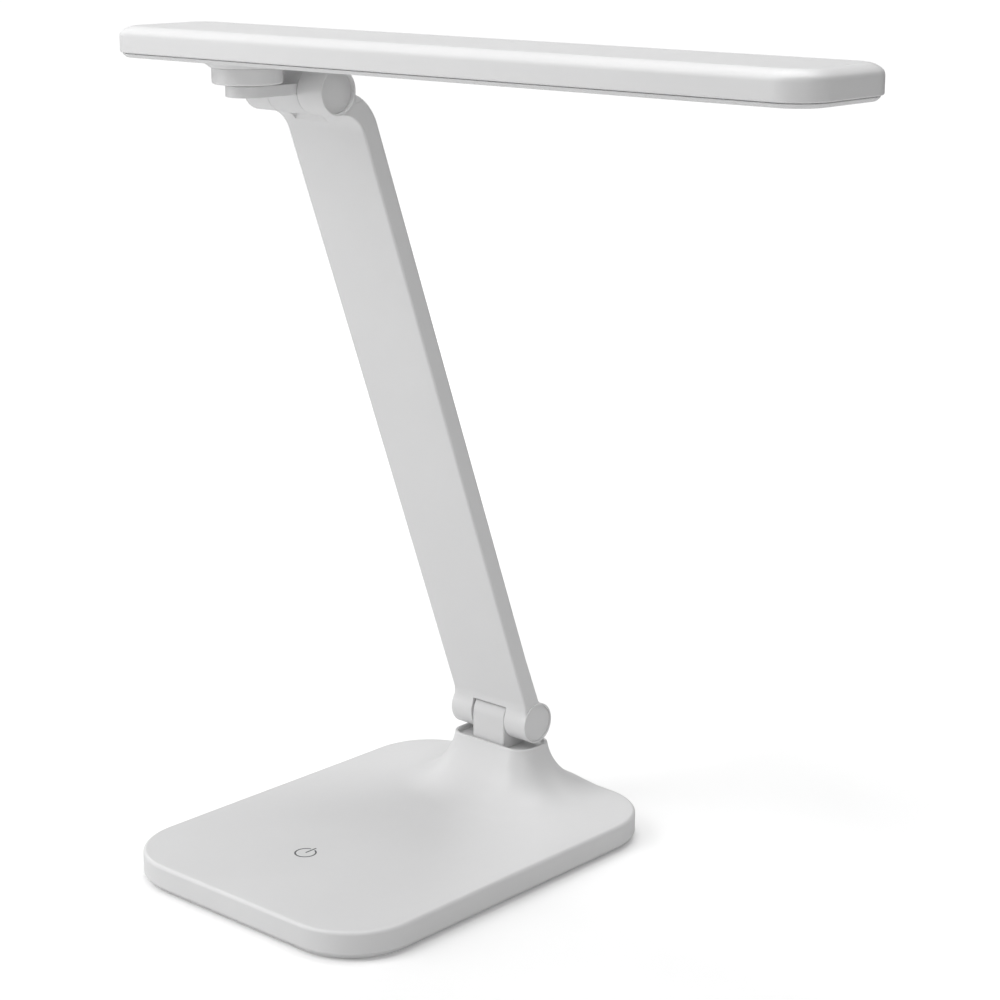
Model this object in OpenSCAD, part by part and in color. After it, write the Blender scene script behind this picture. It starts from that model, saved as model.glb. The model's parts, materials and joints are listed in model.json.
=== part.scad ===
// Folding LED desk lamp: flat base with a raised neck, flat arm hinged at both
// ends, and a long light bar that swivels on a small bracket.
// Origin: centre of the base footprint on the table. +Z up, +X along the hinge
// pins, +Y towards the hinge side (the back).

/* [Base] */
// Width of the base, along the hinge pins
base_w = 136; // [120:1:160]
// Depth of the base, front to back
base_d = 180; // [165:1:200]
// Height of the flat top above the table
base_h = 11.7; // [11.5:0.1:12.2]
// Plan radius of the base corners
base_r = 28.7; // [24:0.1:34]
// Edge radius around the top of the base
base_edge = 2.2; // [1.5:0.1:2.4]
// Wall of the base shell
base_wall = 2.2; // [1.8:0.1:2.4]

/* [Lower hinge] */
// Distance of the lower hinge pin behind the base centre
low_y = 64.9; // [63:0.1:66]
// Height of the lower hinge pin
low_z = 43.2; // [43:0.1:45]
// Outer radius of the hinge barrels
barrel_r = 8.53; // [8.5:0.01:8.8]
// Half length of both hinge barrels, and half the arm's width
half_w = 20.3; // [20.3:0.1:21]

/* [Arm] */
// Forward lean of the arm from upright, in degrees
lean = 20.1; // [17:0.1:23]
// Distance of the arm's front face in front of the lower pin
arm_front = 4.0; // [4:0.1:4.4]
// Distance of the arm's rear face behind the lower pin
arm_back = 4.4; // [4.4:0.1:5]
// Inner radius of the bend at the top of the arm
bend_r = 11.6; // [11:0.1:12]

/* [Upper hinge] */
// Position of the upper hinge pin, front to back
up_y = -44.2; // [-44.6:0.1:-43.8]
// Height of the upper hinge pin
up_z = 310.6; // [310.4:0.1:310.8]

/* [Head] */
// Length of the light bar
head_l = 303; // [290:1:320]
// Width of the light bar
head_w = 47; // [45:0.5:50]
// Height of the light bar's shell
head_t = 9.3; // [9.2:0.1:10]
// Length of the short end, from the swivel axis
head_short = 48.6; // [46:0.1:54]
// Number of light emitters along the bar
led_n = 20; // [14:1:24]

/* [Hidden] */
$fn = 64;
e = 0.02;

shell_z0 = 2.7;                 // lower edge of the base shell
neck_top = 32.9;                 // height of the neck rim
neck_cx = 13.4; neck_cy = 2.9;     // corner centres of the neck plan, from the pin
neck_r = 7.5;                    // plan radius of the rim corners
flare_r = 25;                   // concave radius from neck to base top
flare_z = base_h + flare_r;
flare_rho = neck_r + sqrt(flare_r*flare_r - (flare_z-neck_top)*(flare_z-neck_top));
lug_half = 8.8; lug_d = 8.2; pin_r = 3;
gap_x = 0.5;
gap_u = 0.25;                    // beside the bracket's knuckle
dish = 2.0;                      // depth of the dish in the neck's rim
proud = 0.5;                     // barrels beyond the arm's side faces
low_slot_r = 9.45;              // room for the lug over the arm's whole travel
up_slot_r = 9.6;                // room for the knuckle
knk_half = 7.9;                 // half width of the swivel bracket
sw_y = -68.8;                   // swivel axis
br_z0 = 309.4; br_z1 = 313.5;
disc_z0 = 314; disc_z1 = 319.8;
coll_z1 = 322.2;                // underside of the light bar
bez_z1 = 323.9;
head_z1 = bez_z1 + head_t;
arm_len = (up_z-low_z)*cos(lean) - (up_y-low_y)*sin(lean);
low_half = half_w + proud; up_half = half_w + proud;
strip_z0 = up_z - barrel_r;     // underside of the strip where it meets the upper barrel
arm_th = arm_front + arm_back;
bend_z = strip_z0 - bend_r;     // centre of the bend
bend_s = (bend_z - low_z + (arm_front+bend_r)*sin(lean))/cos(lean);
bend_y = low_y - (arm_front+bend_r)*cos(lean) - bend_s*sin(lean);
white = [0.93, 0.93, 0.92]; steel = [0.72, 0.73, 0.75]; dark = [0.16, 0.17, 0.18];

// ---- helpers -------------------------------------------------------------
// Prism with rounded plan corners, w along X, d along Y.
module rprism(w, d, r, h) {
  translate([-w/2+r, -d/2, 0]) cube([w-2*r, d, h]);
  translate([-w/2, -d/2+r, 0]) cube([w, d-2*r, h]);
  for (sx = [-1, 1], sy = [-1, 1])
    translate([sx*(w/2-r), sy*(d/2-r), 0]) cylinder(r = r, h = h);
}
// Section of a bar with its two top edges rounded.
module bar_section(w, h, t) {
  translate([-w/2, 0]) square([w, h-t]);
  translate([-w/2+t, 0]) square([w-2*t, h]);
  for (s = [-1, 1]) translate([s*(w/2-t), h-t]) circle(r = t);
}
// Prism with rounded plan corners and a rounded top edge.
module rprism_top(w, d, r, h, t) {
  translate([-w/2+r, 0, 0]) rotate([90, 0, 90]) linear_extrude(w-2*r) bar_section(d, h, t);
  translate([0, d/2-r, 0]) rotate([90, 0, 0]) linear_extrude(d-2*r) bar_section(w, h, t);
  for (sx = [-1, 1], sy = [-1, 1]) translate([sx*(w/2-r), sy*(d/2-r), 0])
    rotate_extrude() intersection() { bar_section(2*r, h, t); square([r, h]); }
}
// Section under the concave flare, measured outwards from a corner centre.
module flare_half(cr) {
  difference() {
    square([flare_rho, neck_top]);
    translate([flare_rho, flare_z]) circle(r = cr, $fn = 128);
  }
}
// Solid under the flared neck; cr is the concave radius.
module flare_solid(cr, z0) {
  difference() {
    union() {
      for (sx = [-1, 1], sy = [-1, 1]) translate([sx*neck_cx, low_y+sy*neck_cy, 0])
        rotate_extrude() flare_half(cr);
      for (m = [0, 1]) mirror([m, 0, 0]) translate([neck_cx, low_y+neck_cy, 0])
        rotate([90, 0, 0]) linear_extrude(2*neck_cy) flare_half(cr);
      for (m = [0, 1]) translate([0, low_y, 0]) mirror([0, m, 0]) translate([-neck_cx, neck_cy, 0])
        rotate([90, 0, 90]) linear_extrude(2*neck_cx) flare_half(cr);
      translate([-neck_cx, low_y-neck_cy, 0]) cube([2*neck_cx, 2*neck_cy, neck_top]);
    }
    translate([-100, -100, -1]) cube([200, 300, z0+1]);
  }
}
// Cylinder along X from x0 to x1 at the current origin.
module xcyl(r, x0, x1) { translate([x0, 0, 0]) rotate([0, 90, 0]) cylinder(r = r, h = x1-x0); }
module at_low() { translate([0, low_y, low_z]) children(); }
module at_up() { translate([0, up_y, up_z]) children(); }
// Arm frame: Z up along the arm from the lower pin, -Y is the front face.
module at_arm() { translate([0, low_y, low_z]) rotate([lean, 0, 0]) children(); }
module screw(head_r, head_h, r, l) {
  difference() {
    union() { cylinder(r = head_r, h = head_h); translate([0, 0, head_h-e]) cylinder(r = r, h = l); }
    translate([-head_r*0.6, -0.25, -e]) cube([head_r*1.2, 0.5, 0.5]);
    translate([-0.25, -head_r*0.6, -e]) cube([0.5, head_r*1.2, 0.5]);
  }
}
module wire(a, b, r) {
  d = b-a; l = norm(d);
  translate(a) rotate([0, acos(d[2]/l), atan2(d[1], d[0])]) cylinder(r = r, h = l, $fn = 16);
}
module spring_washer(ri, ro, h) {
  rotate_extrude() polygon([[ri, h-0.4], [ro, 0], [ro, 0.4], [ri, h]]);
}

// ---- base ----------------------------------------------------------------
scr_x = base_w/2 - base_r + 16.7;
scr_y = base_d/2 - base_r + 16.7;
sym_x = -6.85; sym_y = -43;
usb_x = -34; usb_z = 7;

module base_upper_shell() {
  color(white) difference() {
    union() {
      translate([0, 0, shell_z0]) rprism_top(base_w, base_d, base_r, base_h-shell_z0, base_edge);
      intersection() {
        flare_solid(flare_r, shell_z0+3);
        rprism(base_w-2, base_d-2, base_r-1, 60);
      }
    }
    difference() {
      translate([0, 0, shell_z0-1]) rprism(base_w-2*base_wall, base_d-2*base_wall, base_r-base_wall, base_h-2-shell_z0+1);
      for (sx = [-1, 1], sy = [-1, 1]) translate([sx*scr_x, sy*scr_y, 4.2]) cylinder(r = 3.2, h = 10);
    }
    intersection() {
      flare_solid(flare_r+1.6, shell_z0+1);
      rprism(base_w-2*base_wall-1, base_d-2*base_wall-1, base_r-base_wall, neck_top-4.6);
    }
    // shallow dish in the neck, with an opening for the lug in its floor
    translate([0, low_y, neck_top-dish]) rprism(2*neck_cx+12.4, 2*neck_cy+12.4, 6.2, 30);
    translate([-lug_half-0.2, low_y-lug_d-0.2, 8]) cube([2*lug_half+0.4, 2*lug_d+0.4, 40]);
    for (sx = [-1, 1], sy = [-1, 1]) translate([sx*scr_x, sy*scr_y, 2]) cylinder(r = 1.1, h = 5.6);
    translate([usb_x, base_d/2, usb_z]) rotate([90, 0, 0]) translate([0, 0, -1]) {
      translate([-3, -1.7, 0]) cube([6, 3.4, 6]);
      for (s = [-1, 1]) translate([s*3, 0, 0]) cylinder(r = 1.7, h = 6);
    }
    translate([sym_x, sym_y, base_h-0.2]) symbol_shape(0.06, 1);
  }
}
// Ring with a gap and a bar, grown by g.
module symbol_shape(g, h) {
  difference() {
    cylinder(r = 4.35+g, h = h);
    translate([0, 0, -1]) cylinder(r = 3.85-g, h = h+2);
    translate([-1.0+g, 0, -1]) cube([2.0-2*g, 6, h+2]);
  }
  translate([-0.25-g, 0.1-g, 0]) cube([0.5+2*g, 5.7+2*g, h]);
}
module touch_symbol() { color(dark) translate([sym_x, sym_y, base_h-0.2]) symbol_shape(0, 0.2); }

module base_bottom_cover() {
  color(white) difference() {
    union() {
      translate([0, 0, 0.6]) rprism(base_w-2.4, base_d-2.4, base_r-1.2, 2);
      translate([0, 0, 2.4]) rprism(base_w-2*base_wall-0.4, base_d-2*base_wall-0.4, base_r-base_wall-0.2, 1.7);
    }
    translate([0, 0, -1]) rprism(base_w-18, base_d-18, base_r-9, 2.0);
    for (sx = [-1, 1], sy = [-1, 1]) translate([sx*scr_x, sy*scr_y, -1]) {
      cylinder(r = 1.5, h = 10); cylinder(r = 3, h = 2.9);
    }
    translate([0, 0, 3.1]) rprism(base_w-26, base_d-24, base_r-12, 2);
  }
}
module anti_slip_mat() { color(dark) rprism(base_w-18.6, base_d-18.6, base_r-9.3, 0.98); }
module base_screws() {
  color(steel) for (sx = [-1, 1], sy = [-1, 1]) translate([sx*scr_x, sy*scr_y, 0.8]) screw(2.7, 1.05, 1.05, 5);
}
module counterweight_plate() {
  color([0.45, 0.46, 0.48]) difference() {
    translate([0, 0, 3.15]) rprism(108, 150, 16, 4.05);
    translate([sym_x-28, sym_y-21, 0]) cube([56, 42, 20]);
    for (sx = [-1, 1]) translate([sx*14, low_y, 0]) cylinder(r = 1.6, h = 20);
  }
}
module control_board() {
  color([0.1, 0.35, 0.2]) translate([sym_x-26, sym_y-19, 3.7]) cube([52, 38, 1.6]);
  color(dark) for (p = [[-16, -8], [12, -9], [14, 8]]) translate([sym_x+p[0]-3, sym_y+p[1]-3, 5.29]) cube([6, 6, 1.2]);
}
module touch_electrode() {
  color([0.8, 0.6, 0.3]) translate([sym_x, sym_y, 5.32]) {
    cylinder(r = 2, h = 4.1); translate([0, 0, 4.0]) cylinder(r = 7, h = 0.3);
  }
}
module usb_c_socket() {
  color(steel) translate([usb_x, base_d/2-0.4, usb_z]) rotate([90, 0, 0]) {
    difference() {
      union() { translate([-2.9, -1.6, 0]) cube([5.8, 3.2, 8]); for (s = [-1, 1]) translate([s*2.9, 0, 0]) cylinder(r = 1.6, h = 8); }
      translate([0, 0, -1]) { translate([-2.9, -1.3, 0]) cube([5.8, 2.6, 7]); for (s = [-1, 1]) translate([s*2.9, 0, 0]) cylinder(r = 1.3, h = 7); }
    }
    translate([-2.4, -0.35, 1.2]) cube([4.8, 0.7, 6]);
  }
}
module inlet_board() { color([0.1, 0.35, 0.2]) translate([usb_x-9, 76.2, 4.35]) cube([18, 11, 1.0]); }
module base_wires() {
  for (k = [0, 1]) color(k == 0 ? [0.7, 0.1, 0.1] : dark) {
    x = 14 + 2.2*k;
    wire([x, sym_y+10, 8.2], [x, 44, 8.2], 0.7);
  }
}

// ---- lower hinge ---------------------------------------------------------
module lower_hinge_lug() {
  color(white) difference() {
    union() {
      translate([-18.4, low_y-lug_d+0.2, 7.25]) cube([36.8, 2*lug_d-0.4, 3]);
      intersection() {
        union() {
          translate([-lug_half, low_y-lug_d, 7.25]) cube([2*lug_half, 2*lug_d, low_z-7.25]);
          at_low() xcyl(lug_d, -lug_half, lug_half);
        }
        // bevelled edges at the two sides
        translate([0, low_y, 0]) linear_extrude(80) polygon([
          [-lug_half, -lug_d+0.9], [-lug_half+0.9, -lug_d], [lug_half-0.9, -lug_d], [lug_half, -lug_d+0.9],
          [lug_half, lug_d-0.9], [lug_half-0.9, lug_d], [-lug_half+0.9, lug_d], [-lug_half, lug_d-0.9]]);
      }
    }
    at_low() xcyl(pin_r, -20, 20);
    for (sx = [-1, 1]) translate([sx*14, low_y, 0]) { cylinder(r = 1.6, h = 20); translate([0, 0, 8.8]) cylinder(r = 2.9, h = 5); }
  }
}
module lug_screws() {
  color(steel) for (sx = [-1, 1]) translate([sx*14, low_y, 10.1]) rotate([180, 0, 0]) screw(2.7, 1.25, 1.5, 5.4);
}
// Pin with a head on its left, for a hinge whose inner walls end at xi.
module hinge_pin(xi) {
  color(steel) {
    difference() {
      union() { xcyl(pin_r-0.01, -xi-0.1, xi+6.4); xcyl(5.2, -xi-2.7, -xi-0.06); }
      translate([-xi-2.9, -0.6, -3]) cube([1, 1.2, 6]);
    }
  }
}
module washers(xi) {
  color(steel) {
    difference() { xcyl(6, xi+0.06, xi+0.9); xcyl(pin_r+0.03, xi, xi+2); }
    translate([xi+0.95, 0, 0]) rotate([0, 90, 0]) spring_washer(pin_r+0.05, 5.8, 1.0);
    translate([xi+3.0, 0, 0]) rotate([0, -90, 0]) spring_washer(pin_r+0.05, 5.8, 1.0);
  }
}
module lock_nut(xi) {
  color(steel) difference() {
    translate([xi+3.05, 0, 0]) rotate([0, 90, 0]) cylinder(r = 5.77, h = 3.2, $fn = 6);
    xcyl(pin_r+0.01, xi, xi+9);
  }
}
module end_cap(x_out, depth) {
  xcyl(7.75, x_out-depth-1.5, x_out-depth);
  difference() { xcyl(6.9, x_out-depth-2.9, x_out-depth-1.5+e); xcyl(6.0, x_out-depth-3.5, x_out-depth-1.5); }
}
low_xi = lug_half + gap_x + 2.2;
up_xi = knk_half + gap_u + 2.2;
module lower_hinge_pin() { at_low() hinge_pin(low_xi); }
module lower_friction_washers() { at_low() washers(low_xi); }
module lower_lock_nut() { at_low() lock_nut(low_xi); }

// ---- arm -----------------------------------------------------------------
// Outline of the arm seen from its side, in the plane across the pins.
module arm_outline() {
  translate([low_y, low_z]) rotate(lean) translate([-arm_front, 0]) square([arm_th, bend_s]);
  translate([low_y, low_z]) circle(r = barrel_r);
  translate([up_y, up_z]) circle(r = barrel_r);
  translate([up_y, strip_z0]) square([bend_y-up_y+e, arm_th]);
  intersection() {
    difference() {
      translate([bend_y, bend_z]) circle(r = bend_r+arm_th, $fn = 128);
      translate([bend_y, bend_z]) circle(r = bend_r);
    }
    translate([bend_y, bend_z]) polygon([[0, 0], [0, 40], [40, 40], [40*cos(lean-0.5), 40*sin(lean-0.5)]]);
  }
}
// Space between the arm's two side faces, grown by grow.
module arm_width(grow) {
  at_arm() translate([-half_w-grow, -60, -15]) cube([2*(half_w+grow), 100, arm_len+45]);
}
cov_s0 = 15; cov_s1 = bend_s-8;
boss_s = [30, 103, 176, 249];
cap_cut_y = up_y+barrel_r; cap_cut_z = up_z-4.77; cap_tilt = 16.4;
// Space of the cap over the bend, pulled back by g from its seat.
module cap_space(g) {
  translate([-30, 0, 0]) rotate([90, 0, 90]) linear_extrude(60) polygon([
    [cap_cut_y+g, cap_cut_z+g], [cap_cut_y+40, cap_cut_z+g+(40-g)*tan(cap_tilt)], [cap_cut_y+40, cap_cut_z+60], [cap_cut_y+g, cap_cut_z+60]]);
}
module arm_front_shell() {
  color(white) difference() {
    union() {
      intersection() {
        translate([-30, 0, 0]) rotate([90, 0, 90]) linear_extrude(60) arm_outline();
        arm_width(0);
      }
      for (m = [0, 1]) mirror([m, 0, 0]) {
        at_low() xcyl(barrel_r-0.05, half_w-0.4, low_half);
        at_up() xcyl(barrel_r-0.05, half_w-0.4, up_half);
      }
    }
    // channel, open at the back
    difference() {
      intersection() {
        at_arm() translate([-30, -arm_front+1.8, cov_s0]) cube([60, 20, cov_s1-cov_s0]);
        arm_width(-1.8);
      }
      for (s = boss_s) at_arm() translate([0, -arm_front, s]) rotate([-90, 0, 0]) cylinder(r = 3, h = arm_th-1.7);
    }
    for (s = boss_s) at_arm() translate([0, -arm_front+2.4, s]) rotate([-90, 0, 0]) cylinder(r = 0.95, h = 20);
    // room for the lug and for the bracket's knuckle
    at_low() xcyl(low_slot_r, -lug_half-gap_x, lug_half+gap_x);
    at_low() translate([-lug_half-gap_x, -9, -12]) cube([2*(lug_half+gap_x), 18, 12]);
    at_up() xcyl(up_slot_r, -knk_half-gap_u, knk_half+gap_u);
    at_up() translate([-knk_half-gap_u, -12, -3]) cube([2*(knk_half+gap_u), 12, 14]);
    // slot in the front face of the bend
    translate([-13.2, up_y-2, strip_z0-12]) cube([16.9, 12.65, 10.63]);
    // pin holes and the chambers behind the end caps
    at_low() { xcyl(pin_r+0.05, -30, 30); for (m = [0, 1]) mirror([m, 0, 0]) { xcyl(7, low_xi, 30); xcyl(7.8, low_half-2.2, 30); } }
    at_up() { xcyl(pin_r+0.05, -30, 30); for (m = [0, 1]) mirror([m, 0, 0]) { xcyl(7, up_xi, 30); xcyl(7.8, up_half-3.45, 30); } }
    // seat of the cap over the bend
    cap_space(0);
    // passage for the cable at both ends
    at_arm() translate([11, 0.6, 6]) cylinder(r = 1.4, h = cov_s0-4);
    at_arm() translate([11, 0.6, cov_s1-2]) cylinder(r = 1.4, h = 12);
  }
}
module arm_top_cap() {
  color(white) difference() {
    intersection() {
      translate([-30, 0, 0]) rotate([90, 0, 90]) linear_extrude(60) arm_outline();
      arm_width(0);
      cap_space(0.08);
    }
    at_up() { xcyl(barrel_r+0.05, -30, 30); xcyl(up_slot_r, -knk_half-gap_u, knk_half+gap_u); }
  }
}
module arm_rear_cover() {
  color(white) difference() {
    intersection() {
      at_arm() translate([-30, arm_back-1.6, cov_s0+0.1]) cube([60, 1.6, cov_s1-cov_s0-0.2]);
      arm_width(-1.9);
    }
    for (s = boss_s) at_arm() translate([0, 0, s]) rotate([-90, 0, 0]) {
      cylinder(r = 1.3, h = 20); translate([0, 0, arm_back-1.0]) cylinder(r = 2.5, h = 5);
    }
  }
}
module arm_cover_screws() {
  color(steel) for (s = boss_s) at_arm() translate([0, arm_back-0.15, s]) rotate([90, 0, 0]) screw(2.2, 0.8, 0.9, 4.5);
}
module arm_stiffener() {
  color(steel) at_arm() difference() {
    translate([-14, -arm_front+1.85, 20]) cube([28, 1.2, 236]);
    for (s = boss_s) translate([0, -10, s]) rotate([-90, 0, 0]) cylinder(r = 3.6, h = 20);
  }
}
module arm_cable() {
  color(dark) at_arm() for (k = [0, 1]) translate([9+2.1*k, 1.2, 17]) cylinder(r = 0.9, h = cov_s1-cov_s0-4, $fn = 24);
}
module lower_end_caps() { color(white) at_low() for (m = [0, 1]) mirror([m, 0, 0]) end_cap(low_half, 0.5); }
module upper_end_caps() { color(white) at_up() for (m = [0, 1]) mirror([m, 0, 0]) end_cap(up_half, 1.75); }

// ---- swivel bracket ------------------------------------------------------
module swivel_bracket() {
  color(white) difference() {
    union() {
      at_up() xcyl(barrel_r, -knk_half, knk_half);
      translate([-knk_half, sw_y, br_z0]) cube([2*knk_half, up_y-sw_y, br_z1-br_z0]);
      translate([0, sw_y, br_z0]) cylinder(r = knk_half, h = br_z1-br_z0);
    }
    at_up() xcyl(pin_r, -20, 20);
    translate([0, sw_y, br_z0-1]) { cylinder(r = 4, h = 10); cylinder(r = 5.6, h = 2.9); }
  }
}
module upper_hinge_pin() { at_up() hinge_pin(up_xi); }
module upper_friction_washers() { at_up() washers(up_xi); }
module upper_lock_nut() { at_up() lock_nut(up_xi); }

// ---- swivel and head -----------------------------------------------------
module swivel_shaft() {
  color(steel) translate([0, sw_y, 0]) difference() {
    union() { translate([0, 0, br_z0+1.95]) cylinder(r = 3.95, h = 14.5); translate([0, 0, bez_z1+0.05]) cylinder(r = 12, h = 1.6); }
    translate([0, 0, br_z0]) cylinder(r = 1.25, h = 8);
    for (a = [90, 210, 330]) rotate([0, 0, a]) translate([9, 0, bez_z1-1]) cylinder(r = 1.1, h = 5);
  }
}
module swivel_washer() { color([0.85, 0.85, 0.8]) translate([0, sw_y, br_z1+0.05]) difference() { cylinder(r = 7.4, h = 0.4); translate([0, 0, -1]) cylinder(r = 4.0, h = 3); } }
module swivel_retainer() { color(steel) translate([0, sw_y, br_z0+0.75]) difference() { cylinder(r = 5.4, h = 1.1); translate([0, 0, -1]) cylinder(r = 1.5, h = 3); } }
module swivel_screw() { color(steel) translate([0, sw_y, br_z0-0.18]) screw(2.6, 0.9, 1.2, 6.8); }
module swivel_disc() {
  color(white) translate([0, sw_y, disc_z0]) difference() {
    rotate_extrude() polygon([[4.0, 0], [11.9, 0], [12.6, 0.7], [12.6, disc_z1-disc_z0], [4.0, disc_z1-disc_z0]]);
  }
}
module swivel_collar() {
  color(white) translate([0, sw_y, disc_z1+0.03]) difference() {
    cylinder(r = 15.15, h = coll_z1-disc_z1-0.06);
    translate([0, 0, -1]) cylinder(r = 4.0, h = 10);
  }
}
head_cx = head_l/2 - head_short;
module at_head() { translate([head_cx, sw_y, 0]) children(); }
hs = [[-head_l/2+7.5, 0], [-head_l/2+64, head_w/2-6.5], [-head_l/2+64, -head_w/2+6.5], [head_l/2-6.5, 0]];
module head_housing() {
  color(white) at_head() difference() {
    translate([0, 0, bez_z1]) rprism_top(head_l, head_w, 12, head_t, 3.8);
    translate([0, 0, bez_z1-1]) rprism(head_l-3.6, head_w-3.6, 10.2, 2.25);
    difference() {
      translate([0, 0, bez_z1]) rprism(head_l-8, head_w-8, 8, head_t-1.6);
      for (p = hs) translate([p[0], p[1], bez_z1+1.3]) cylinder(r = 2.6, h = 12);
    }
    for (p = hs) translate([p[0], p[1], bez_z1-1]) cylinder(r = 0.9, h = 6.2);
  }
}
module head_bezel() {
  color(white) at_head() difference() {
    union() {
      translate([0, 0, coll_z1]) rprism(head_l-2.4, head_w-2.4, 10.8, bez_z1-coll_z1-0.04);
      translate([0, 0, coll_z1]) rprism(head_l-4, head_w-4, 10, bez_z1-coll_z1+1.2);
    }
    // window for the diffuser, on the long side of the swivel
    translate([-head_l/2+72, -head_w/2+3.5, 0]) cube([head_l-72-12, head_w-7, 500]);
    // recess above the mounting pad
    translate([-head_l/2+12, -head_w/2+4, bez_z1-0.02]) cube([58, head_w-8, 10]);
    translate([-head_cx, 0, coll_z1-1]) { cylinder(r = 4.0, h = 5);
      for (a = [90, 210, 330]) rotate([0, 0, a]) translate([9, 0, 0]) cylinder(r = 0.9, h = 5); }
    for (p = hs) translate([p[0], p[1], coll_z1-1]) { cylinder(r = 1.2, h = 6); cylinder(r = 2.4, h = 1.9); }
  }
}
module shaft_screws() {
  color(steel) translate([0, sw_y, 0]) for (a = [90, 210, 330]) rotate([0, 0, a])
    translate([9, 0, bez_z1+2.5]) rotate([180, 0, 0]) screw(2, 0.8, 0.85, 3);
}
module head_screws() { color(steel) at_head() for (p = hs) translate([p[0], p[1], coll_z1+0.1]) screw(2.1, 0.75, 0.85, 4.6); }
module diffuser() {
  color([0.97, 0.97, 0.95, 0.9]) at_head()
    translate([-head_l/2+72.1, -head_w/2+3.6, coll_z1+0.3]) cube([head_l-72-12.2, head_w-7.2, 1.9]);
}
module reflector_tray() {
  color([0.95, 0.95, 0.95]) at_head() translate([-head_l/2+74, -head_w/2+5.2, bez_z1+0.8]) difference() {
    cube([head_l-88, head_w-10.4, 4]);
    translate([1, 1, -1]) cube([head_l-90, head_w-12.4, 4.4]);
    for (i = [0:led_n-1], r = [0, 1]) translate([6+i*(head_l-102)/(led_n-1)-2.2, 7+r*(head_w-26)-2.2, -1]) cube([4.4, 4.4, 9]);
  }
}
module led_board() {
  color([0.8, 0.81, 0.82]) at_head() translate([-head_l/2+74, -head_w/2+5.5, bez_z1+5.7]) cube([head_l-88, head_w-11, 1.4]);
}
module led_emitters() {
  color([0.95, 0.85, 0.4]) at_head() for (i = [0:led_n-1], r = [0, 1])
    translate([-head_l/2+74+6+i*(head_l-102)/(led_n-1)-1.5, -head_w/2+5.2+7+r*(head_w-26)-1.5, bez_z1+4.9]) cube([3, 3, 0.8]);
}
module head_wires() {
  for (k = [0, 1]) color(k == 0 ? [0.7, 0.1, 0.1] : dark) {
    y = sw_y+3*(k*2-1);
    wire([5, y, bez_z1+3.4], [24.4, y, bez_z1+6.2], 0.7);
  }
}

base_upper_shell();
base_bottom_cover();
counterweight_plate();
control_board();
touch_electrode();
touch_symbol();
usb_c_socket();
inlet_board();
base_wires();
anti_slip_mat();
base_screws();
lower_hinge_lug();
lug_screws();
lower_hinge_pin();
lower_friction_washers();
lower_lock_nut();
arm_front_shell();
arm_rear_cover();
arm_top_cap();
arm_stiffener();
arm_cable();
arm_cover_screws();
lower_end_caps();
upper_end_caps();
swivel_bracket();
upper_hinge_pin();
upper_friction_washers();
upper_lock_nut();
swivel_shaft();
swivel_washer();
swivel_retainer();
swivel_screw();
swivel_disc();
swivel_collar();
head_housing();
head_bezel();
diffuser();
reflector_tray();
led_board();
led_emitters();
head_wires();
head_screws();
shaft_screws();
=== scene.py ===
import bpy, bmesh, math, json
import numpy as np
from mathutils import Vector, Matrix


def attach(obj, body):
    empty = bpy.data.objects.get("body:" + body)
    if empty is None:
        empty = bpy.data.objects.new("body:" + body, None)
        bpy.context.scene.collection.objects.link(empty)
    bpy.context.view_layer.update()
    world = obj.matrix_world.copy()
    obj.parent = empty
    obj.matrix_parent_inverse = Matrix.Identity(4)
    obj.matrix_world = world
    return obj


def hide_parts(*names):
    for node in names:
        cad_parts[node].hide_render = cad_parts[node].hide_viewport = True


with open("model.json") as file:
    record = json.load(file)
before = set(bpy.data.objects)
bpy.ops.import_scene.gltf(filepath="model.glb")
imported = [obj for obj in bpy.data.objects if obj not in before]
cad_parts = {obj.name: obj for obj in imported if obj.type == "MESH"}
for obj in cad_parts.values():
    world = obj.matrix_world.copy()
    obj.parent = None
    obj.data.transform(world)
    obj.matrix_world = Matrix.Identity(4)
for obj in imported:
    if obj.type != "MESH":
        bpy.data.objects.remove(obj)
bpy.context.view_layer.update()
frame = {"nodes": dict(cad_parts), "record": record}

MM = 0.001
nodes = frame["nodes"]
scene = bpy.context.scene

# ---------------------------------------------------------------- dimensions, mm
BW, BD, BH, BR, WALL = 136.0, 180.0, 11.7, 28.7, 2.2
SZ0 = 2.7
LY, LZ = 64.9, 43.2
BAR_R, HALF = 8.53, 20.3
LEAN = math.radians(20.1)
AF, AB = 4.0, 4.4
BEND_R = 11.6
UY, UZ = -44.2, 310.6
HL, HW, HT, HSHORT = 303.0, 47.0, 9.3, 48.6
NECK_TOP, NCX, NCY, NR = 32.9, 13.4, 2.9, 7.5
FLR = 25.0
FLZ = BH + FLR
FLRHO = NR + math.sqrt(FLR ** 2 - (FLZ - NECK_TOP) ** 2)
LUG_HALF, LUG_D, GAP = 8.8, 8.2, 0.5
KNK, GAP_U = 7.9, 0.25
END = HALF + 0.5
DISH = 2.0
CUT_Y, CUT_Z, CUT_T = UY + BAR_R, UZ - 4.77, math.tan(math.radians(16.4))
SWY = -68.8
BR0, BR1 = 309.4, 313.5
DISC0, DISC1 = 314.0, 319.8
COL1 = 322.2
BEZ1 = 323.9
HTOP = BEZ1 + HT
ARM_TH = AF + AB
STRIP0 = UZ - BAR_R
BZ = STRIP0 - BEND_R
BS = (BZ - LZ + (AF + BEND_R) * math.sin(LEAN)) / math.cos(LEAN)
BY = LY - (AF + BEND_R) * math.cos(LEAN) - BS * math.sin(LEAN)
COV0, COV1 = 15.0, BS - 8
BOSS = [30, 103, 176, 249]
HCX = HL / 2 - HSHORT
SYM = (-6.85, -43.0)
USB = (-34.0, 7.0)
SCR = [(sx * (BW / 2 - BR + 16.7), sy * (BD / 2 - BR + 16.7)) for sx in (-1, 1) for sy in (-1, 1)]


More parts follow.
